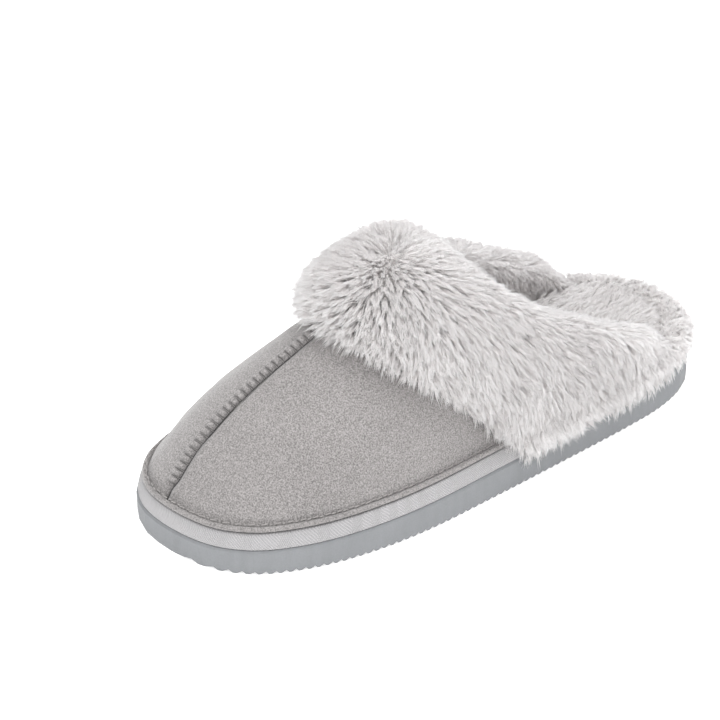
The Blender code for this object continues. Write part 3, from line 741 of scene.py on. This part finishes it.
def make_pile_base(wall, material):
    """Dense under-fur: the CAD fur drawn in towards the wall.

    Returns it with, for each vertex, the depth that it was drawn in, the direction away from the wall, and
    whether hair can grow there.
    """
    bm = bmesh.new()
    for node in FUR_NODES:
        bm.from_mesh(nodes[node].data)
    bm.normal_update()
    swollen = [vert.co + vert.normal * CLOSING for vert in bm.verts]
    for vert, place in zip(bm.verts, swollen):
        vert.co = place
    base = object_from("pile_base", bm)
    remesh = base.modifiers.new("remesh", "REMESH")
    remesh.mode = "VOXEL"
    remesh.voxel_size = PILE_VOXEL
    smooth = base.modifiers.new("smooth", "SMOOTH")
    smooth.factor = 0.5
    smooth.iterations = PILE_SMOOTHING
    apply_modifiers(base)
    points = sunk(coords(base) - vertex_normals(base) * CLOSING)
    feet, _, distance = nearest(wall, points)
    depth = np.clip((distance - BACKING) * PILE_SHARE, 0.0, PILE_LIMIT)
    depth = np.minimum(depth, spread(base, depth, DEPTH_ROUNDS))
    outward = unit(points - feet)
    outward = unit(np.stack([spread(base, outward[:, k], DEPTH_ROUNDS // 2) for k in range(3)], 1))
    set_coords(base, points - outward * depth[:, None])
    base.data.shade_smooth()
    finish_piece(base, material, FUR_NODES)

    normals = vertex_normals(base)
    starts = coords(base) + normals * BACKING / 2
    open_air = np.array([wall.ray_cast(Vector(p), Vector(n), OPEN_AIR)[0] is None
                         for p, n in zip(starts, normals)])
    return base, depth, outward, open_air.astype(float)


def scatter(obj, weights, count, seed, *values):
    """Random places on a mesh, and the given per-vertex values blended at each. Weights are per vertex."""
    mesh = obj.data
    mesh.calc_loop_triangles()
    corners = np.empty(len(mesh.loop_triangles) * 3, int)
    mesh.loop_triangles.foreach_get("vertices", corners)
    corners = corners.reshape(-1, 3)
    points = coords(obj)
    a, b, c = (points[corners[:, k]] for k in range(3))
    area = np.linalg.norm(np.cross(b - a, c - a), axis=1) / 2
    chance = np.cumsum(area * weights[corners].mean(1))
    rng = np.random.default_rng(seed)
    chosen = np.searchsorted(chance, rng.uniform(0, chance[-1], count))
    u, v = rng.uniform(size=(2, count, 1))
    over = u + v > 1
    u, v = np.where(over, 1 - u, u), np.where(over, 1 - v, v)
    blend = np.concatenate([1 - u - v, u, v], 1)
    return [(data[corners[chosen]] * blend.reshape(count, 3, *[1] * (data.ndim - 1))).sum(1)
            for data in (points, *values)]


def followers(leaders, points):
    """For each point, the index of the nearest leader."""
    tree = kdtree.KDTree(len(leaders))
    for k, leader in enumerate(leaders):
        tree.insert(leader, k)
    tree.balance()
    return np.array([tree.find(p)[1] for p in points])


def turn(vectors, axes, angles):
    """The vectors turned about the axes, which are square to them."""
    return vectors * np.cos(angles)[:, None] + np.cross(axes, vectors) * np.sin(angles)[:, None]


def comb(points, normals, centre, droop):
    """Direction the hair is combed in: away from the crown's whorl, and down."""
    away = points - centre
    far = smoothstep(np.linalg.norm(away, axis=1), *COMB_REACH)
    pull = unit(away) + np.array([0, 0, -1.0]) * (droop * (0.35 + 0.65 * far))[:, None]
    pull -= normals * (pull * normals).sum(1, keepdims=True)
    return unit(pull)


def bent(normals, flows, heights, lengths, places):
    """How far each hair has gone from its root at the given shares of its length, lying down to its tip."""
    rise = np.clip(heights / lengths, 0.08, 0.85)
    path = np.zeros((len(rise), BEND_STEPS + 1, 3))
    for k in range(BEND_STEPS):
        lift = np.clip(rise * (1.65 - 1.3 * (k + 0.5) / BEND_STEPS), 0.02, 0.97)
        direction = normals * lift[:, None] + flows * np.sqrt(1 - lift**2)[:, None]
        path[:, k + 1] = path[:, k] + direction * (lengths / BEND_STEPS)[:, None]
    at = np.clip(places, 0, 1) * BEND_STEPS
    low = np.minimum(at.astype(int), BEND_STEPS - 1)
    rows = np.arange(len(rise))[:, None]
    return path[rows, low] + (path[rows, low + 1] - path[rows, low]) * (at - low)[..., None]


def grow(roots, normals, heights, lengths, flows, locks_in_tuft, seed):
    """Centre lines and tones of hairs in locks. Each hair follows its lock and closes up on it to the tip."""
    rng = np.random.default_rng(seed)
    count = len(roots)
    leaders = np.arange(0, count, HAIRS_IN_LOCK)
    lock = followers(roots[leaders], roots)
    tufts = leaders[::locks_in_tuft]
    group = followers(roots[tufts], roots[leaders])
    swing = rng.normal(0, 0.20, len(leaders)) + 0.35 * waves(roots[leaders], 0.018, seed + 1)
    lock_flow = turn(flows[leaders], normals[leaders], swing)
    lock_length = lengths[leaders] * rng.uniform(0.82, 1.12, len(leaders))
    lock_height = heights[leaders] * rng.uniform(0.70, 1.12, len(leaders))
    reach = rng.uniform(0.72, 1.0, (count, 1))
    places = np.array((*RING_PLACES, 1.0))[None, :] * reach
    shift = bent(normals[leaders][lock], lock_flow[lock], lock_height[lock], lock_length[lock], places)
    close = GATHER * places[..., None] ** 1.3
    to_lock = (roots[leaders][lock] - roots)[:, None] * close
    to_tuft = (roots[tufts][group] - roots[leaders])[lock][:, None] * (0.30 * places[..., None] ** 1.6)
    stray = rng.normal(0, STRAY, (count, 1, 3)) * places[..., None]
    tone = np.clip(rng.normal(0.6, 0.22, len(leaders))[lock] + rng.normal(0, 0.12, count), 0, 1)
    return roots[:, None] + shift + to_lock + to_tuft + stray, tone


def keep_out(lines, tree):
    """Lifts the outer parts of hairs that would dip into a bare surface, so that they lie on it."""
    for ring in range(2, lines.shape[1]):
        for k, point in enumerate(lines[:, ring]):
            foot, normal, _, _ = tree.find_nearest(Vector(point), KEEP_OUT_REACH)
            if foot is not None and (Vector(point) - foot).dot(normal) < HAIR_CLEARANCE:
                lines[k, ring] = foot + normal * HAIR_CLEARANCE


def hair_mesh(name, lines, tone):
    """Closed three-sided tapered hairs along the centre lines, with a bake layout of one cell for each."""
    count, places = lines.shape[0], lines.shape[1]
    rings = places - 1
    tangents = unit(np.gradient(lines, axis=1))
    aside = unit(np.cross(tangents, np.array([0.31, 0.17, 0.93])))
    up = np.cross(aside, tangents)
    width = HAIR_RADIUS * np.array(RING_WIDTHS)[None, :, None, None]
    angles = 2 * math.pi * np.arange(3) / 3
    around = np.cos(angles)[:, None] * aside[:, :rings, None] + np.sin(angles)[:, None] * up[:, :rings, None]
    body = lines[:, :rings, None] + around * width
    verts = np.concatenate([body.reshape(count, -1, 3), lines[:, -1:]], 1)
    per_hair = rings * 3 + 1
    quads, cell = [], []
    for r in range(rings - 1):
        for s in range(3):
            n = (s + 1) % 3
            quads.append((r * 3 + s, r * 3 + n, r * 3 + 3 + n, r * 3 + 3 + s))
            cell.append(((s, r), (s + 1, r), (s + 1, r + 1), (s, r + 1)))
    last = (rings - 1) * 3
    tris = [(last + s, last + (s + 1) % 3, per_hair - 1) for s in range(3)] + [(2, 1, 0)]
    tri_cell = [((s, rings - 1), (s + 1, rings - 1), (s + 0.5, rings)) for s in range(3)]
    tri_cell.append(((0.0, 0.0), (0.2, 0.0), (0.1, 0.1)))
    offsets = np.arange(count)[:, None] * per_hair
    loops = np.concatenate([(offsets + np.ravel(quads)).ravel(), (offsets + np.ravel(tris)).ravel()])
    sizes = np.concatenate([np.full(count * len(quads), 4), np.full(count * len(tris), 3)])

    mesh = bpy.data.meshes.new(name)
    mesh.vertices.add(count * per_hair)
    mesh.vertices.foreach_set("co", verts.ravel())
    mesh.loops.add(len(loops))
    mesh.loops.foreach_set("vertex_index", loops)
    mesh.polygons.add(len(sizes))
    mesh.polygons.foreach_set("loop_start", np.concatenate([[0], np.cumsum(sizes)[:-1]]))
    mesh.update(calc_edges=True)
    mesh.shade_smooth()

    grid = math.ceil(math.sqrt(count))
    corner = np.stack([np.arange(count) % grid, np.arange(count) // grid], 1)
    scale = 0.86 / np.array([3.0, rings])
    quad_uv = corner[:, None] + 0.07 + np.array(cell, float).reshape(-1, 2) * scale
    tri_uv = corner[:, None] + 0.07 + np.array([p for t in tri_cell for p in t], float) * scale
    uv = np.concatenate([quad_uv.reshape(-1, 2), tri_uv.reshape(-1, 2)]) / grid
    mesh.uv_layers.new(name="OFBake").data.foreach_set("uv", uv.ravel())

    obj = new_object(name, mesh)
    along = np.concatenate([np.repeat(RING_PLACES, 3), [1.0]])
    set_attribute(obj, "along", np.tile(along, count))
    set_attribute(obj, "tone", np.repeat(tone, per_hair))
    return obj


def add_hairs(name, lines, tone, material):
    """Numbered pieces of at most HAIRS_PER_PIECE hairs each."""
    for number, start in enumerate(range(0, len(lines), HAIRS_PER_PIECE)):
        part = slice(start, start + HAIRS_PER_PIECE)
        finish_piece(hair_mesh(f"{name}_{number + 1:02d}", lines[part], tone[part]), material)


def make_coat(base, depth, outward, open_air, material):
    """The long fur of the cuff, side collars and heel, combed away from a whorl on top of the cuff."""
    weights = open_air * (1.0 + 0.5 * depth / PILE_LIMIT)
    roots, height, away, face = scatter(base, weights, HAIRS, 11, depth, outward, vertex_normals(base))
    thin = smoothstep(height, *THIN_FUR)
    away = unit(away * (1 - thin)[:, None] + face * thin[:, None])
    height = np.maximum(height, SHORT_PILE)
    low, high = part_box("cuff_fur")
    whorl = np.array([WHORL_X, low.y + WHORL_FROM_FRONT, high.z - WHORL_FROM_TOP])
    near = np.exp(-((np.linalg.norm(roots - whorl, axis=1) / WHORL_REACH) ** 2))
    inside = smoothstep((away * unit(-roots * [1, 0, 0])).sum(1), 0.2, 0.7)
    heel = smoothstep(roots[:, 1], *HEEL_BLEND)
    length = (HAIR_LENGTH + height) * (1 - INSIDE_TRIM * inside) * (1 - WHORL_TRIM * near)
    length = length * (1 - HEEL_TRIM * heel)
    height = height * (1 - near) + WHORL_RISE * length * near
    droop = DROOP + REAR_DROOP * smoothstep(roots[:, 1], REAR_START, HEEL_START)
    flows = comb(roots, away, whorl, droop)
    crest = heel * smoothstep(away[:, 2], CREST_SLOPE, CREST_LEVEL)
    height = height * (1 - crest) + CREST_RISE * length * crest
    lean = np.random.default_rng(43).normal(size=(len(roots), 3))
    flows = flows + lean * (CREST_LEAN * crest)[:, None]
    flows = unit(flows - away * (flows * away).sum(1, keepdims=True))
    lines, tone = grow(roots - away * ROOT_DEPTH, away, height, length, flows, LOCKS_IN_TUFT, 23)
    keep_out(lines, tree_of([bpy.data.objects[name] for name in BARE_PIECES]))
    order = np.argsort(np.arctan2(roots[:, 0], roots[:, 1]), kind="stable")
    add_hairs("fur_coat", lines[order], tone[order], material)


def make_footbed(plush, hairs):
    """The padded footbed and its short pile, which is combed towards the heel."""
    bed = softened("footbed_plush", "plush_footbed", 2)
    points, normals = coords(bed), vertex_normals(bed)
    top = smoothstep(normals[:, 2], 0.3, 0.8)
    uneven = 0.0003 * waves(points, 0.012, 8)
    set_coords(bed, points - normals * (top * FOOTBED_SINK)[:, None] + normals * uneven[:, None])
    finish_piece(bed, plush, ["plush_footbed"])
    rim = smoothstep(normals[:, 2], -0.3, 0.3) * smoothstep(points[:, 1], *FOOTBED_REAR)
    shown = np.maximum(top, rim) * smoothstep(points[:, 1], *FOOTBED_FRONT)
    roots, up = scatter(bed, shown, FOOTBED_HAIRS, 31, normals)
    up = unit(up)
    aside, along = 0.6 * waves(roots, 0.03, 5), 1 + 0.5 * waves(roots, 0.03, 6)
    flows = unit(np.stack([aside, along, np.zeros(len(roots))], 1))
    flows = unit(flows - up * (flows * up).sum(1, keepdims=True))
    height = np.full(len(roots), FOOTBED_PILE)
    lines, tone = grow(roots - up * FOOTBED_ROOT_DEPTH, up, height, height * FOOTBED_LENGTH, flows, 9, 37)
    add_hairs("footbed_pile", lines, tone, hairs)


def make_lining(plush):
    lining = softened("toe_lining", "vamp_lining", 2)
    points, normals = coords(lining), vertex_normals(lining)
    set_coords(lining, points + normals * (0.00025 * waves(points, 0.008, 9))[:, None])
    finish_piece(lining, plush, ["vamp_lining"])


def dress_hidden_nodes(foam):
    """The foam and board inside the slipper keep their CAD shape and get a material."""
    board = foam_look("pressed_board", BOARD_BROWN, 0.0020)
    for name, obj in nodes.items():
        if obj.hide_render:
            continue
        obj.data.materials.clear()
        obj.data.materials.append(board if name == "insole_board" else foam)


# ---- stage ----
def make_stage():
    bm = bmesh.new()
    bmesh.ops.create_grid(bm, x_segments=2, y_segments=2, size=FLOOR_SIZE)
    floor = object_from("studio_floor", bm)
    look = Look("studio_paper", 0.9)
    look.color(look.ramp(look.noise(0.4, 2.0), (0.90, 0.90, 0.90), (0.93, 0.93, 0.93)))
    look.shader.inputs["Emission Color"].default_value = (1.0, 1.0, 1.0, 1.0)
    look.shader.inputs["Emission Strength"].default_value = FLOOR_GLOW
    floor.data.materials.append(look.material)

    world = bpy.data.worlds.new("studio")
    world.use_nodes = True
    background = world.node_tree.nodes["Background"]
    background.inputs["Color"].default_value = (1.0, 1.0, 1.0, 1.0)
    background.inputs["Strength"].default_value = WORLD_LIGHT
    bpy.context.scene.world = world

    bpy.context.scene.cycles.diffuse_bounces = LIGHT_BOUNCES
    bpy.context.scene.cycles.max_bounces = LIGHT_BOUNCES
    for light in LIGHTS:
        add_light(*light)


def add_light(name, place, size, power):
    data = bpy.data.lights.new(name, "AREA")
    data.shape = "DISK"
    data.size = size
    data.energy = power
    light = bpy.data.objects.new(name, data)
    light.location = place
    light.rotation_euler = (LIGHT_TARGET - Vector(place)).to_track_quat("-Z", "Y").to_euler()
    bpy.context.scene.collection.objects.link(light)


def make_camera():
    back = Vector((math.sin(CAMERA_AZIMUTH) * math.cos(CAMERA_ELEVATION),
                   -math.cos(CAMERA_AZIMUTH) * math.cos(CAMERA_ELEVATION), math.sin(CAMERA_ELEVATION)))
    data = bpy.data.cameras.new("camera")
    data.lens = CAMERA_LENS
    data.sensor_width = 36
    camera = bpy.data.objects.new("camera", data)
    camera.location = CAMERA_TARGET + back * CAMERA_DISTANCE
    camera.rotation_euler = (-back).to_track_quat("-Z", "Y").to_euler()
    bpy.context.scene.collection.objects.link(camera)
    bpy.context.scene.camera = camera
    bpy.context.scene.view_settings.view_transform = "Standard"


def main():
    make_camera()
    make_stage()
    suede, thread = suede_look(), thread_look()
    foam = foam_look("soft_foam", FOAM_WHITE, 0.0012)
    plush = pile_look("short_plush", shade_of(FUR_GREY, PLUSH_PAINTED_SHADE), 0.0006)
    hairs = hair_look()
    seam = Seam()
    halves = make_toe(seam, suede, foam)
    make_welt(seam, halves["medial"], suede, thread)
    make_edge_trim(suede, thread)
    make_sole(sole_look(), band_look())
    make_lining(plush)
    make_footbed(plush, hairs)
    under_fur = pile_look("under_fur", shade_of(FUR_GREY, UNDER_FUR_PAINTED_SHADE), 0.0005)
    pile = make_pile_base(make_collar_padding(foam), under_fur)
    make_coat(*pile, hairs)
    dress_hidden_nodes(foam)


main()
